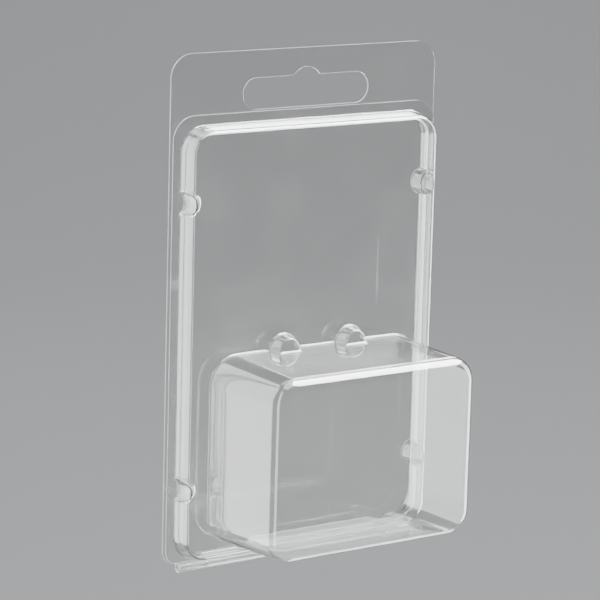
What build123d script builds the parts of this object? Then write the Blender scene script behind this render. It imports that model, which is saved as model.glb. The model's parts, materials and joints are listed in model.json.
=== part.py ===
from build123d import *
import os
from math import cos, radians, tan

# Clear hang-tab clamshell pack for a small product, closed and empty.
# It is one thin sheet, thermoformed flat and folded in half along its bottom edge:
#   back_shell    flat hang card with a euro slot, and a shallow plug that seats in the front
#   front_shell   flange, shallow tray with four snap notches, and the deep product box
#   living_hinge  the rounded fold along the bottom edge that joins the two halves
#
# Millimetres. The origin is the centre of the hang slot, on the rear face of the card.
# +X points to the right and +Z up as a shopper sees the pack, and the forms grow forward,
# along -Y. A depth is measured forward from the rear face of the card. A bottom, a top or
# a height is measured up from the lowest edge of the fold.

# --- Sheet -------------------------------------------------------------------------------
sheet = 0.35                # wall of the formed sheet
flange_gap = 0.4            # air between the two flanges when the pack is shut
corner_radius = 5.0         # upper corners of both flanges
bottom_corner_radius = 3.0  # lower corners, at the ends of the fold
root_radius = 0.3           # where a wall rises from its flange

# --- Back half ---------------------------------------------------------------------------
back_width = 67.4
back_top = 108.4
slot_length = 32.0
slot_height = 6.6
slot_drop = 9.0             # from the card's top edge to the middle of the slot
hump_radius = 4.0           # round peak in the middle of the slot's upper edge
hump_rise = 1.7             # of the peak above the slot's upper edge
hump_blend = 0.8            # where the peak runs into the straight edge
plug_clearance = 0.45       # between the plug and the inside of the tray, all round
plug_edge_radius = 0.7
plug_notch_radius = 2.45
plug_notch_relief = 2.05    # how much further in the plug's notches go than the tray's
card_space = 1.65           # between the plug's face and the inside of the tray's face

# --- Front half --------------------------------------------------------------------------
front_step = 0.35           # how far the front flange's sides stand in from the card's
slot_clearance = 0.3        # between the slot and the front flange's top edge
side_margin = 1.7           # flange left at each side of the tray
top_margin = 2.1            # flange left above the tray
bottom_margin = 0.7         # flange left between the fold and the tray
tray_depth = 4.6            # of the tray's face in front of its flange
tray_corner_radius = 5.5
tray_edge_radius = 0.9
wall_draft = 8.0            # degrees, of the tray's and the plug's walls
notch_radius = 3.0
notch_depth = 1.1           # into the foot of the tray's side wall
notch_inset = 15.5          # from the tray's top and bottom to the nearest notch

# --- Product box on the tray's face ------------------------------------------------------
box_height = 39.7           # where the box leaves the tray's face
box_side_margin = 5.3       # from the side of the tray's foot to the box
box_bottom_margin = 4.0     # from the bottom of the tray's foot to the box
box_depth = 22.9            # of the box's front in front of the tray's face
box_draft = 2.0             # degrees
box_corner_radius = 6.0
box_edge_radius = 2.5       # round the front of the box
box_root_radius = 0.6       # round the foot of the box and of its lugs

# --- Stacking lugs in the corner between the tray's face and the box ---------------------
lug_reach = 3.2             # forward of the tray's face
lug_root = 1.5              # how far a lug starts inside the tray
lug_side_taper = 0.8        # from the tray's face to the nose, on each side
lug_crest_drop = 0.2        # from the tray's face to the nose
lug_edge_radius = 0.5       # round the nose
top_lug_width = 7.0         # at the tray's face
top_lug_rise = 3.2          # away from the box's wall
top_lug_spacing = 17.0
bottom_lug_width = 4.2
bottom_lug_rise = 1.9
bottom_lug_inset = 8.85     # from the box's side to the middle of the lug

# --- Fold --------------------------------------------------------------------------------
fold_radius = 0.85          # outside of the round bead
fold_top = 1.9              # where the bead meets both flanges
relief_width = 0.7          # slots that let the bead bend
relief_inset = 7.05         # from the bead's end to the middle of a slot
relief_bridge = 0.5         # what a slot leaves below each flange

# --- Derived -----------------------------------------------------------------------------
# Depths, from the rear face of the card
flange_back = sheet + flange_gap
flange_front = flange_back + sheet
tray_face = flange_front + tray_depth
box_face = tray_face + box_depth
plug_face = tray_face - sheet - card_space

# Widths
front_width = back_width - 2 * front_step
tray_width = front_width - 2 * side_margin
box_width = tray_width - 2 * box_side_margin
fold_length = front_width - 2 * bottom_corner_radius

# Heights, from the lowest edge of the fold
slot_centre = back_top - slot_drop
front_top = slot_centre - slot_height / 2 - slot_clearance
tray_top = front_top - top_margin
tray_bottom = fold_top + bottom_margin
box_bottom = tray_bottom + box_bottom_margin
box_top = box_bottom + box_height
notch_heights = (tray_bottom + notch_inset, tray_top - notch_inset)
fold_z = -slot_centre

# Plug and notches
plug_margin = sheet + plug_clearance        # from the outside of the tray to the plug
notch_centre = tray_width / 2 - notch_depth + notch_radius
plug_notch_centre = notch_centre - notch_radius - plug_notch_relief + plug_notch_radius


def panel(width, bottom, top, radius):
    """Rounded rectangle between two heights, for an open BuildSketch."""
    with Locations((0, fold_z + (bottom + top) / 2)):
        RectangleRounded(width, top - bottom, radius)


def flange(width, top, depth):
    """Flat sheet that reaches up from the top of the fold, for an open BuildPart."""
    with BuildSketch(Plane.XZ.offset(depth)) as outline:
        with Locations((0, fold_z + (fold_top + top) / 2)):
            Rectangle(width, top - fold_top)
        fillet(vertices().group_by(Axis.Y)[0], bottom_corner_radius)
        fillet(vertices().group_by(Axis.Y)[-1], corner_radius)
    extrude(outline.sketch, amount=sheet)


def drafted(width, bottom, top, radius, start, root, face, draft, inset):
    """Drafted block whose size is given at depth root, with each of its surfaces moved in by inset."""
    margin = inset / cos(radians(draft)) - (root - start) * tan(radians(draft))
    with BuildSketch(Plane.XZ.offset(start)) as outline:
        panel(width - 2 * margin, bottom + margin, top - margin, radius - margin)
    extrude(outline.sketch, amount=face - inset - start, taper=draft)


def notches(centre, radius, depth):
    """Four half-round notches cut into the side walls, from the flange forward."""
    with BuildSketch(Plane.XZ) as rounds:
        for height in notch_heights:
            with Locations((-centre, fold_z + height), (centre, fold_z + height)):
                Circle(radius)
    extrude(rounds.sketch, amount=depth, mode=Mode.SUBTRACT)


def lug(middle, wall, width, rise, inset):
    """Round tapered nose centred in the box's wall at height wall, so that half of it stands proud."""
    sections = []
    for depth in (tray_face - lug_root, tray_face + lug_reach - inset):
        along = (depth - tray_face) / lug_reach
        with BuildSketch(Plane.XZ.offset(depth)) as section:
            with Locations((middle, fold_z + wall)):
                Ellipse(width / 2 - lug_side_taper * along - inset, rise - lug_crest_drop * along - inset)
        sections.append(section.sketch)
    with BuildPart() as block:
        loft(sections)
        fillet(faces().sort_by(Axis.Y)[0].edges(), lug_edge_radius - inset)
    return block.part


def lugs(inset):
    """All four stacking lugs."""
    made = []
    for side in (-1, 1):
        top_middle = side * top_lug_spacing / 2
        bottom_middle = side * (box_width / 2 - bottom_lug_inset)
        made.append(lug(top_middle, box_top, top_lug_width, top_lug_rise, inset))
        made.append(lug(bottom_middle, box_bottom, bottom_lug_width, bottom_lug_rise, inset))
    return made


def tray_front(inset):
    """Flat front of the tray round the box, in the open BuildPart."""
    depth = tray_face - inset
    return faces().filter_by(Plane.XZ).filter_by_position(Axis.Y, -depth - 0.01, -depth + 0.01)[0]


def front_form(inset):
    """Tray and box as one block, with each of its surfaces moved in by inset."""
    with BuildPart() as form:
        drafted(
            tray_width, tray_bottom, tray_top, tray_corner_radius,
            flange_back, flange_front, tray_face, wall_draft, inset,
        )
        drafted(
            box_width, box_bottom, box_top, box_corner_radius,
            flange_front, tray_face, box_face, box_draft, inset,
        )
        box_front = faces().filter_by(Axis.Y).sort_by(Axis.Y)[0]
        fillet(box_front.edges(), box_edge_radius - inset)
        before_lugs = edges()
        add(lugs(inset))
        lug_feet = (edges() - before_lugs).filter_by(lambda edge: edge.center().Y < -tray_face)
        fillet(lug_feet, box_root_radius + inset)
        fillet(tray_front(inset).inner_wires()[0].edges(), box_root_radius + inset)
        fillet(tray_front(inset).outer_wire().edges(), tray_edge_radius - inset)
        notches(notch_centre, notch_radius + inset, tray_face)
    return form.part


def plug_form(inset):
    """The plug as one block, with each of its surfaces moved in by inset."""
    with BuildPart() as form:
        drafted(
            tray_width - 2 * plug_margin, tray_bottom + plug_margin, tray_top - plug_margin,
            tray_corner_radius - plug_margin, 0, sheet, plug_face, wall_draft, inset,
        )
        fillet(faces().sort_by(Axis.Y)[0].edges(), plug_edge_radius - inset)
        notches(plug_notch_centre, plug_notch_radius + inset, plug_face)
    return form.part


# --- Back shell --------------------------------------------------------------------------
plug_outside = plug_form(0)
plug_inside = plug_form(sheet)
with BuildPart() as back_shell:
    flange(back_width, back_top, 0)
    add(plug_outside)
    flange_face = faces().filter_by(Axis.Y).group_by(Axis.Y)[1].sort_by(SortBy.AREA)[-1]
    fillet(flange_face.inner_wires()[0].edges(), root_radius)
    add(plug_inside, mode=Mode.SUBTRACT)
    with BuildSketch(Plane.XZ):
        SlotOverall(slot_length, slot_height)
        with Locations((0, slot_height / 2 + hump_rise - hump_radius)):
            Circle(hump_radius)
        hump_foot = vertices().filter_by_position(Axis.X, -hump_radius, hump_radius).group_by(Axis.Y)[-1]
        fillet(hump_foot, hump_blend)
    extrude(amount=sheet, mode=Mode.SUBTRACT)

# --- Front shell -------------------------------------------------------------------------
front_outside = front_form(0)
front_inside = front_form(sheet)
with BuildPart() as front_shell:
    flange(front_width, front_top, flange_back)
    add(front_outside)
    flange_face = faces().filter_by(Axis.Y).group_by(Axis.Y)[-2].sort_by(SortBy.AREA)[-1]
    fillet(flange_face.inner_wires()[0].edges(), root_radius)
    add(front_inside, mode=Mode.SUBTRACT)

# --- Living hinge ------------------------------------------------------------------------
with BuildPart() as living_hinge:
    with BuildSketch(Plane.YZ.offset(-fold_length / 2)):
        with Locations((-fold_radius, fold_z + fold_radius)):
            Circle(fold_radius)
        with Locations((-flange_front / 2, fold_z + (fold_radius + fold_top) / 2)):
            Rectangle(flange_front, fold_top - fold_radius)
        with Locations((-fold_radius, fold_z + fold_radius)):
            Circle(fold_radius - sheet, mode=Mode.SUBTRACT)
        with Locations((-flange_front / 2, fold_z + (fold_radius + fold_top) / 2)):
            Rectangle(flange_gap, fold_top - fold_radius, mode=Mode.SUBTRACT)
    extrude(amount=fold_length)
    with BuildSketch(Plane.XY.offset(fold_z)):
        for side in (-1, 1):
            with Locations((side * (fold_length / 2 - relief_inset), -fold_radius)):
                Rectangle(relief_width, 2 * fold_radius)
    extrude(amount=fold_top - relief_bridge, mode=Mode.SUBTRACT)

# --- Write -------------------------------------------------------------------------------
back_shell.part.label = "back_shell"
front_shell.part.label = "front_shell"
living_hinge.part.label = "living_hinge"

os.makedirs("parts", exist_ok=True)
export_step(back_shell.part, "parts/back_shell.step")
export_step(front_shell.part, "parts/front_shell.step")
export_step(living_hinge.part, "parts/living_hinge.step")
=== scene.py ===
import bmesh
import bpy
import json
from math import atan2, cos, pi, radians, sin
from mathutils import Matrix, Vector

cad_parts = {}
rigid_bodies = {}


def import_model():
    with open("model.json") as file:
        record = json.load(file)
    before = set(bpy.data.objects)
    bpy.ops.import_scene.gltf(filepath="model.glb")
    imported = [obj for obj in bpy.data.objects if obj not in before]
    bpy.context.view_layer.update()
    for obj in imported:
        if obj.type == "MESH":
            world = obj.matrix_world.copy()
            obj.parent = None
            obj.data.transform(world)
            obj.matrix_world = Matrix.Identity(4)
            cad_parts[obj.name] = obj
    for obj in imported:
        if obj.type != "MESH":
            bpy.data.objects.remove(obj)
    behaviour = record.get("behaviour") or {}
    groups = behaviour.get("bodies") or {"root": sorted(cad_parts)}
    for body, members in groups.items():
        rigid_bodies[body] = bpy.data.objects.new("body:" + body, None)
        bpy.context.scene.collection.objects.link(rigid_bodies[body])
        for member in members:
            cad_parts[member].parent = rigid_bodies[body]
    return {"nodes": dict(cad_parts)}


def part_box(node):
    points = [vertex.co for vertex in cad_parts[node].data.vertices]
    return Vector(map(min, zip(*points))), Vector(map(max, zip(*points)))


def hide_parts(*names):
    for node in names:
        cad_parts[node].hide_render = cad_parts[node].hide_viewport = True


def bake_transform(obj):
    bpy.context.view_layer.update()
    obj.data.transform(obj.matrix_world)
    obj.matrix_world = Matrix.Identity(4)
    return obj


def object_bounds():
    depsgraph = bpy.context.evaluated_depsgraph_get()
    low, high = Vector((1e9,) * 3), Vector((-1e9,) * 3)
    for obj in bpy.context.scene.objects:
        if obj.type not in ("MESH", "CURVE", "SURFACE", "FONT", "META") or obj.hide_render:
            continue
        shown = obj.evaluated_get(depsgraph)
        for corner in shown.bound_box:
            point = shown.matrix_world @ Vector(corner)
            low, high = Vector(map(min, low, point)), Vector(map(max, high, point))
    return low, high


# Looks of the clear hang-tab clamshell pack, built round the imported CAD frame. Metres.
# The two shells are the CAD's own, finished as clear PET sheet. The fold between them is
# modelled here as one folded strip, because it bends when the pack opens.

for thing in list(bpy.data.objects):
    bpy.data.objects.remove(thing)

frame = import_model()
cad_low, cad_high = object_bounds()
middle = (cad_low + cad_high) / 2
scene = bpy.context.scene

MM = 0.001
SHEET = 0.35 * MM              # wall of the formed sheet, as in the CAD
FLANGE_GAP = 0.4 * MM          # air between the two flanges when the pack is shut

LAYERS = 28                    # clear surfaces that a ray may cross
scene.cycles.transparent_max_bounces = LAYERS
scene.cycles.transmission_bounces = LAYERS
scene.cycles.max_bounces = LAYERS
scene.cycles.caustics_reflective = False
scene.cycles.caustics_refractive = False


# --- Shader helpers ----------------------------------------------------------------------
def new_material(name):
    made = bpy.data.materials.new(name)
    made.use_nodes = True
    made.node_tree.nodes.clear()
    return made


def put(material, kind, sockets=None, **settings):
    """Adds a node. sockets maps an input's name to its value or to the output that feeds it."""
    node = material.node_tree.nodes.new(kind)
    for key, value in settings.items():
        setattr(node, key, value)
    for key, value in (sockets or {}).items():
        if isinstance(value, bpy.types.NodeSocket):
            material.node_tree.links.new(value, node.inputs[key])
        else:
            node.inputs[key].default_value = value
    return node


def noise(material, where, scale, detail=2.0, roughness=0.5, stretch=None):
    """Noise at where, in features per metre. stretch scales the three axes first."""
    if stretch:
        mapping = put(material, "ShaderNodeMapping", {"Vector": where, "Scale": stretch})
        where = mapping.outputs["Vector"]
    made = put(
        material, "ShaderNodeTexNoise",
        {"Vector": where, "Scale": scale, "Detail": detail, "Roughness": roughness},
    )
    return made.outputs["Fac"]


def between(material, value, low, high, to_low, to_high):
    """Maps value from low..high to to_low..to_high, held at both ends."""
    made = put(
        material, "ShaderNodeMapRange",
        {"Value": value, "From Min": low, "From Max": high, "To Min": to_low, "To Max": to_high},
    )
    return made.outputs["Result"]


def maths(material, operation, first, second=0.0):
    made = put(material, "ShaderNodeMath", {0: first, 1: second}, operation=operation)
    return made.outputs["Value"]


def bump(material, height, size, under=None):
    """Raises the surface by height (0 to 1) times size in metres, on top of the bump under it."""
    made = put(material, "ShaderNodeBump", {"Height": height, "Strength": 1.0, "Distance": size})
    if under:
        material.node_tree.links.new(under, made.inputs["Normal"])
    return made.outputs["Normal"]


# --- Clear PET sheet ---------------------------------------------------------------------
PET_IOR = 1.57
PET_TINT = (0.975, 0.988, 0.982, 1.0)
SHADOW_TINT = (0.95, 0.96, 0.96, 1.0)
FROSTED_TINT = (0.96, 0.97, 0.97, 1.0)
WAVE_HEIGHT = 0.30 * MM        # broad waves of the formed sheet
DRAW_HEIGHT = 0.10 * MM        # marks of the sheet's stretch, drawn out along the pack's depth
GRAIN_HEIGHT = 0.0006 * MM
SCRATCH_HEIGHT = 0.002 * MM
SCRATCH_HAZE = 0.12            # roughness that a scratch adds
SQUARE = 0.06                  # slack on the direction that a cut edge faces
EDGE_ROOM = 0.02 * MM          # slack on the depth and height of a cut edge


def clear_sheet(name, cut_mask):
    """Clear thermoformed sheet: slight waves, hairline scuffs and frosted cut edges.

    cut_mask(material, coordinates) gives 1 where the sheet was cut and 0 elsewhere.
    """
    made = new_material(name)
    coordinates = put(made, "ShaderNodeTexCoord")
    where = coordinates.outputs["Object"]

    waves = noise(made, where, 38.0, detail=1.0)
    draw = noise(made, where, 55.0, stretch=(1.0, 0.25, 1.0))
    grain = noise(made, where, 900.0)
    hairs = noise(made, where, 260.0, detail=4.0, stretch=(1.0, 1.0, 0.05))
    cross_hairs = noise(made, where, 220.0, detail=4.0, stretch=(0.06, 1.0, 1.0))
    scratch = maths(
        made, "ADD",
        between(made, hairs, 0.70, 0.74, 0.0, 1.0),
        between(made, cross_hairs, 0.71, 0.75, 0.0, 1.0),
    )
    surface = bump(made, waves, WAVE_HEIGHT)
    surface = bump(made, draw, DRAW_HEIGHT, surface)
    surface = bump(made, grain, GRAIN_HEIGHT, surface)
    surface = bump(made, scratch, SCRATCH_HEIGHT, surface)

    handled = noise(made, where, 70.0, detail=5.0, roughness=0.65)
    haze = between(made, handled, 0.45, 0.75, 0.02, 0.10)
    haze = maths(made, "ADD", haze, maths(made, "MULTIPLY", scratch, SCRATCH_HAZE))

    clear = put(
        made, "ShaderNodeBsdfPrincipled",
        {
            "Base Color": PET_TINT, "Transmission Weight": 1.0, "IOR": PET_IOR,
            "Roughness": haze, "Normal": surface,
        },
    )
    frayed = noise(made, where, 1500.0, detail=3.0)
    frosted = put(
        made, "ShaderNodeBsdfPrincipled",
        {
            "Base Color": FROSTED_TINT, "Transmission Weight": 0.25, "IOR": PET_IOR,
            "Roughness": between(made, frayed, 0.3, 0.7, 0.25, 0.6),
        },
    )
    sheet = put(
        made, "ShaderNodeMixShader",
        {"Fac": cut_mask(made, coordinates), 1: clear.outputs["BSDF"], 2: frosted.outputs["BSDF"]},
    )

    # Lamps shine straight through the sheet: with caustics off, glass would cast a full shadow.
    passing = put(made, "ShaderNodeBsdfTransparent", {"Color": SHADOW_TINT})
    ray = put(made, "ShaderNodeLightPath")
    both = put(
        made, "ShaderNodeMixShader",
        {"Fac": ray.outputs["Is Shadow Ray"], 1: sheet.outputs["Shader"], 2: passing.outputs["BSDF"]},
    )
    put(made, "ShaderNodeOutputMaterial", {"Surface": both.outputs["Shader"]})
    return made


def flange_cut(node):
    """Mask of a shell's die-cut rim: faces square to the flange, at its depth and above the fold."""
    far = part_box(node)[1].y
    fold_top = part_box("living_hinge")[1].z

    def mask(material, coordinates):
        spot = put(material, "ShaderNodeSeparateXYZ", {"Vector": coordinates.outputs["Object"]})
        facing = put(material, "ShaderNodeSeparateXYZ", {"Vector": coordinates.outputs["Normal"]})
        square = maths(material, "LESS_THAN", maths(material, "ABSOLUTE", facing.outputs["Y"]), SQUARE)
        in_depth = maths(
            material, "MULTIPLY",
            maths(material, "GREATER_THAN", spot.outputs["Y"], far - SHEET - EDGE_ROOM),
            maths(material, "LESS_THAN", spot.outputs["Y"], far + EDGE_ROOM),
        )
        above = maths(material, "GREATER_THAN", spot.outputs["Z"], fold_top + EDGE_ROOM)
        return maths(material, "MULTIPLY", square, maths(material, "MULTIPLY", in_depth, above))

    return mask


def fold_cut(material, coordinates):
    """Mask of the fold's ends and of the sides of its relief slots, which face along X."""
    facing = put(material, "ShaderNodeSeparateXYZ", {"Vector": coordinates.outputs["Normal"]})
    along_x = maths(material, "ABSOLUTE", facing.outputs["X"])
    return maths(material, "GREATER_THAN", along_x, 1.0 - SQUARE)


# --- Shells ------------------------------------------------------------------------------
for node in ("back_shell", "front_shell"):
    finish = clear_sheet(f"clear_{node}", flange_cut(node))
    for slot in frame["nodes"][node].material_slots:
        slot.material = finish


# --- Living hinge ------------------------------------------------------------------------
RELIEF_INSET = 7.05 * MM       # from the fold's end to the middle of a relief slot
RELIEF_WIDTH = 0.7 * MM
RELIEF_BRIDGE = 0.5 * MM       # left below each flange
SEAM = 0.01 * MM               # keeps the strip's upper edges off the flanges
BEAD_POINTS = 48
RETURN_POINTS = 16
LEG_POINTS = 4
SHARP_ANGLE = 40               # degrees, above which an edge of the strip isn't smoothed


def arc(centre, radius, start, end, points):
    """Points on an arc in the YZ plane. Angles are from +Y towards -Z."""
    y, z = centre
    angles = [start + (end - start) * i / points for i in range(points + 1)]
    return [(y + radius * cos(a), z - radius * sin(a)) for a in angles]


def fold_centre_line():
    """Middle of the folded sheet, seen along X, from the card's flange round to the front's.

    A short leg and a round bead, tangent to the card, and then a return arc that brings the
    sheet up into the front flange.
    """
    low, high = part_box("living_hinge")
    top = high.z - SEAM
    bead = (high.y - low.y - SHEET) / 2
    bead_y, bead_z = (low.y + high.y) / 2, low.z + SHEET / 2 + bead
    back_y = high.y - SHEET / 2
    front_y = back_y - SHEET - FLANGE_GAP
    across, up = bead_y - front_y, top - bead_z
    back = (across ** 2 + up ** 2 - bead ** 2) / (2 * (bead - across))
    meet = 2 * pi - atan2(up, -(across + back))
    leg = [(back_y, top - up * i / LEG_POINTS) for i in range(LEG_POINTS)]
    round_bead = arc((bead_y, bead_z), bead, 0.0, meet, BEAD_POINTS)
    rise = arc((front_y - back, top), back, meet - pi, 0.0, RETURN_POINTS)
    return leg + round_bead + rise[1:]


def both_sides(line):
    """The two faces of a strip one sheet thick that follows line, as two lists of points."""
    sides = ([], [])
    for i, (y, z) in enumerate(line):
        before, after = line[max(i - 1, 0)], line[min(i + 1, len(line) - 1)]
        along = Vector((after[0] - before[0], after[1] - before[1])).normalized()
        for side, sign in zip(sides, (1, -1)):
            side.append((y - sign * along.y * SHEET / 2, z + sign * along.x * SHEET / 2))
    return sides


def strip_stops(low, high):
    """Where the strip is divided along X: its two ends and both sides of each relief slot."""
    stops = [low.x]
    for slot_x in (low.x + RELIEF_INSET, high.x - RELIEF_INSET):
        stops += [slot_x - RELIEF_WIDTH / 2, slot_x + RELIEF_WIDTH / 2]
    return stops + [high.x]


def strip_faces(work, line, stops, slot_top):
    """Faces of the strip. Every second length between stops is a slot, below slot_top.

    Both sides, the ends and the slots' sides are there. The tops of the slots are left open.
    """
    outer, inner = both_sides(line)
    rows = []
    for x in stops:
        rows.append([[work.verts.new((x, y, z)) for y, z in side] for side in (outer, inner)])
    last = len(line) - 1
    for i in range(last):
        slotted = min(line[i][1], line[i + 1][1]) < slot_top
        solid = [j % 2 == 0 or not slotted for j in range(len(stops) - 1)]
        for j, filled in enumerate(solid):
            if filled:
                a, b = rows[j], rows[j + 1]
                work.faces.new((a[0][i], b[0][i], b[0][i + 1], a[0][i + 1]))
                work.faces.new((a[1][i], a[1][i + 1], b[1][i + 1], b[1][i]))
        for r, left, right in zip(rows, [False] + solid, solid + [False]):
            if left != right:
                ring = (r[0][i], r[0][i + 1], r[1][i + 1], r[1][i])
                work.faces.new(ring if right else ring[::-1])
    for a, b in zip(rows, rows[1:]):
        for i in (0, last):
            work.faces.new((a[0][i], a[1][i], b[1][i], b[0][i]))


def living_hinge():
    """The fold as one strip."""
    low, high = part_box("living_hinge")
    line = fold_centre_line()
    mesh = bpy.data.meshes.new("living_hinge_strip")
    work = bmesh.new()
    strip_faces(work, line, strip_stops(low, high), high.z - RELIEF_BRIDGE)
    bmesh.ops.recalc_face_normals(work, faces=work.faces)
    work.to_mesh(mesh)
    work.free()
    for face in mesh.polygons:
        face.use_smooth = True
    mesh.set_sharp_from_angle(angle=radians(SHARP_ANGLE))
    made = bpy.data.objects.new("living_hinge_strip", mesh)
    scene.collection.objects.link(made)
    mesh.materials.append(clear_sheet("clear_fold", fold_cut))
    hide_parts("living_hinge")
    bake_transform(made)


living_hinge()


# --- Studio ------------------------------------------------------------------------------
CAMERA_AZIMUTH = -36.0         # degrees, as read from the photo
CAMERA_ELEVATION = 11.58
CAMERA_ROLL = 1.59
CAMERA_DISTANCE = 0.6
CAMERA_AIM = Vector((-0.00902, -0.01239, -0.04142))
CAMERA_LENS = 175.2            # millimetres, on a sensor 36 mm wide
GROUND = cad_low.z - 105 * MM  # the pack hangs, and the floor clears it when it is open too
PAPER_DARK = (0.325, 0.33, 0.337, 1.0)
PAPER_LIGHT = (0.345, 0.35, 0.355, 1.0)
PAPER_TOOTH = 0.05 * MM
BACKDROP_HALF_WIDTH = 3.0
BACKDROP_NEAR = -3.0           # the floor's edge on the camera's side
BACKDROP_FAR = 1.6             # the upright part, behind the pack
BACKDROP_RISE = 2.5
BACKDROP_BEND = 0.8            # radius where the floor turns up
BEND_STEPS = 24
CARD_HEIGHT = 0.37             # of the cards that stand on the floor
AIR_COLOUR = (0.80, 0.83, 0.86, 1.0)
AIR_STRENGTH = 0.10


def paper():
    """Plain paper with a fine tooth."""
    made = new_material("backdrop_paper")
    where = put(made, "ShaderNodeTexCoord").outputs["Object"]
    tooth = noise(made, where, 900.0, detail=4.0)
    shade = put(made, "ShaderNodeValToRGB", {"Fac": noise(made, where, 3.0)})
    shade.color_ramp.elements[0].color = PAPER_DARK
    shade.color_ramp.elements[1].color = PAPER_LIGHT
    sheet = put(
        made, "ShaderNodeBsdfPrincipled",
        {
            "Base Color": shade.outputs["Color"], "Roughness": 0.9, "Specular IOR Level": 0.0,
            "Normal": bump(made, tooth, PAPER_TOOTH),
        },
    )
    put(made, "ShaderNodeOutputMaterial", {"Surface": sheet.outputs["BSDF"]})
    return made


def backdrop():
    """Plain floor that curves up behind the pack."""
    bend_start = BACKDROP_FAR - BACKDROP_BEND
    profile = [(BACKDROP_NEAR, 0.0)]
    for i in range(BEND_STEPS + 1):
        angle = i / BEND_STEPS * pi / 2
        across, up = BACKDROP_BEND * sin(angle), BACKDROP_BEND - BACKDROP_BEND * cos(angle)
        profile.append((bend_start + across, up))
    profile.append((BACKDROP_FAR, BACKDROP_RISE))
    mesh = bpy.data.meshes.new("backdrop")
    work = bmesh.new()
    rows = []
    for y, z in profile:
        ends = (-BACKDROP_HALF_WIDTH, BACKDROP_HALF_WIDTH)
        rows.append([work.verts.new((x, y, GROUND + z)) for x in ends])
    for a, b in zip(rows, rows[1:]):
        work.faces.new((a[0], a[1], b[1], b[0]))
    work.to_mesh(mesh)
    work.free()
    for face in mesh.polygons:
        face.use_smooth = True
    made = bpy.data.objects.new("backdrop", mesh)
    scene.collection.objects.link(made)
    made.rotation_euler.z = radians(CAMERA_AZIMUTH)
    mesh.materials.append(paper())


def direction(azimuth, elevation):
    """Unit vector towards a point seen at that azimuth (0 is the front) and elevation, in degrees."""
    a, e = radians(azimuth), radians(elevation)
    return Vector((sin(a) * cos(e), -cos(a) * cos(e), sin(e)))


def softbox(name, aim, towards, distance, width, height, watts, on_floor=True):
    """Rectangular soft light. With on_floor off it shows only in the plastic, like a white card."""
    lamp = bpy.data.lights.new(name, "AREA")
    lamp.shape = "RECTANGLE"
    lamp.size = width
    lamp.size_y = height
    lamp.energy = watts
    made = bpy.data.objects.new(name, lamp)
    scene.collection.objects.link(made)
    made.location = aim + distance * towards
    made.rotation_euler = towards.to_track_quat("Z", "Y").to_euler()
    made.visible_camera = False
    made.visible_diffuse = on_floor


def standing_card(name, azimuth, distance, width, watts):
    """Upright glowing card with its lower edge on the floor."""
    aim = Vector((middle.x, middle.y, GROUND + CARD_HEIGHT / 2))
    softbox(name, aim, direction(azimuth, 0), distance, width, CARD_HEIGHT, watts, on_floor=False)


def light_studio():
    """Two soft lights for the floor, and cards for the highlights that the photo shows."""
    behind = middle + 0.7 * direction(CAMERA_AZIMUTH + 180, 0)
    softbox("overhead", middle, direction(20, 75), distance=0.9, width=0.8, height=0.8, watts=12.5)
    softbox("backdrop_wash", behind, direction(0, 90), distance=1.1, width=1.2, height=1.2, watts=14.0)

    # The box's upper front edge, the root line on the tray and the lugs
    softbox(
        "edge_strip", middle, direction(71, 50),
        distance=0.6, width=0.5, height=0.42, watts=50.0, on_floor=False,
    )
    # The tray's top wall
    softbox(
        "rear_strip", middle, direction(138, 25),
        distance=0.6, width=0.2, height=0.10, watts=1.1, on_floor=False,
    )
    # The box's top and the inside of its bottom
    softbox(
        "top_glow", middle, direction(150, 12),
        distance=0.6, width=0.20, height=0.14, watts=0.11, on_floor=False,
    )
    # The box's lower front edge, from just above the floor
    beside = Vector((cad_high.x + 55 * MM, cad_low.y + 30 * MM, middle.z))
    softbox(
        "floor_card", beside, direction(0, -90),
        distance=middle.z - GROUND - MM, width=0.09, height=0.09, watts=0.07, on_floor=False,
    )
    # The side walls' milky shine, the box's left front edge and its right outline
    standing_card("left_rear_card", azimuth=-141, distance=0.20, width=0.22, watts=1.49)
    standing_card("left_front_card", azimuth=-56, distance=0.20, width=0.07, watts=0.55)
    standing_card("right_card", azimuth=71, distance=0.22, width=0.11, watts=1.6)

    world = bpy.data.worlds.new("studio_air")
    world.use_nodes = True
    air = world.node_tree.nodes["Background"]
    air.inputs["Color"].default_value = AIR_COLOUR
    air.inputs["Strength"].default_value = AIR_STRENGTH
    scene.world = world


def place_camera():
    """Camera at the photo's viewing angle."""
    back = direction(CAMERA_AZIMUTH, CAMERA_ELEVATION)
    level = Vector((cos(radians(CAMERA_AZIMUTH)), sin(radians(CAMERA_AZIMUTH)), 0.0))
    upright = back.cross(level)
    roll = radians(CAMERA_ROLL)
    right = level * cos(roll) + upright * sin(roll)
    up = back.cross(right)
    lens = bpy.data.cameras.new("camera")
    lens.sensor_width = 36.0
    lens.lens = CAMERA_LENS
    lens.clip_start = 0.01
    made = bpy.data.objects.new("camera", lens)
    scene.collection.objects.link(made)
    made.matrix_world = Matrix((right, up, back)).transposed().to_4x4()
    made.location = CAMERA_AIM + CAMERA_DISTANCE * back
    bpy.context.scene.camera = made


backdrop()
light_studio()
place_camera()
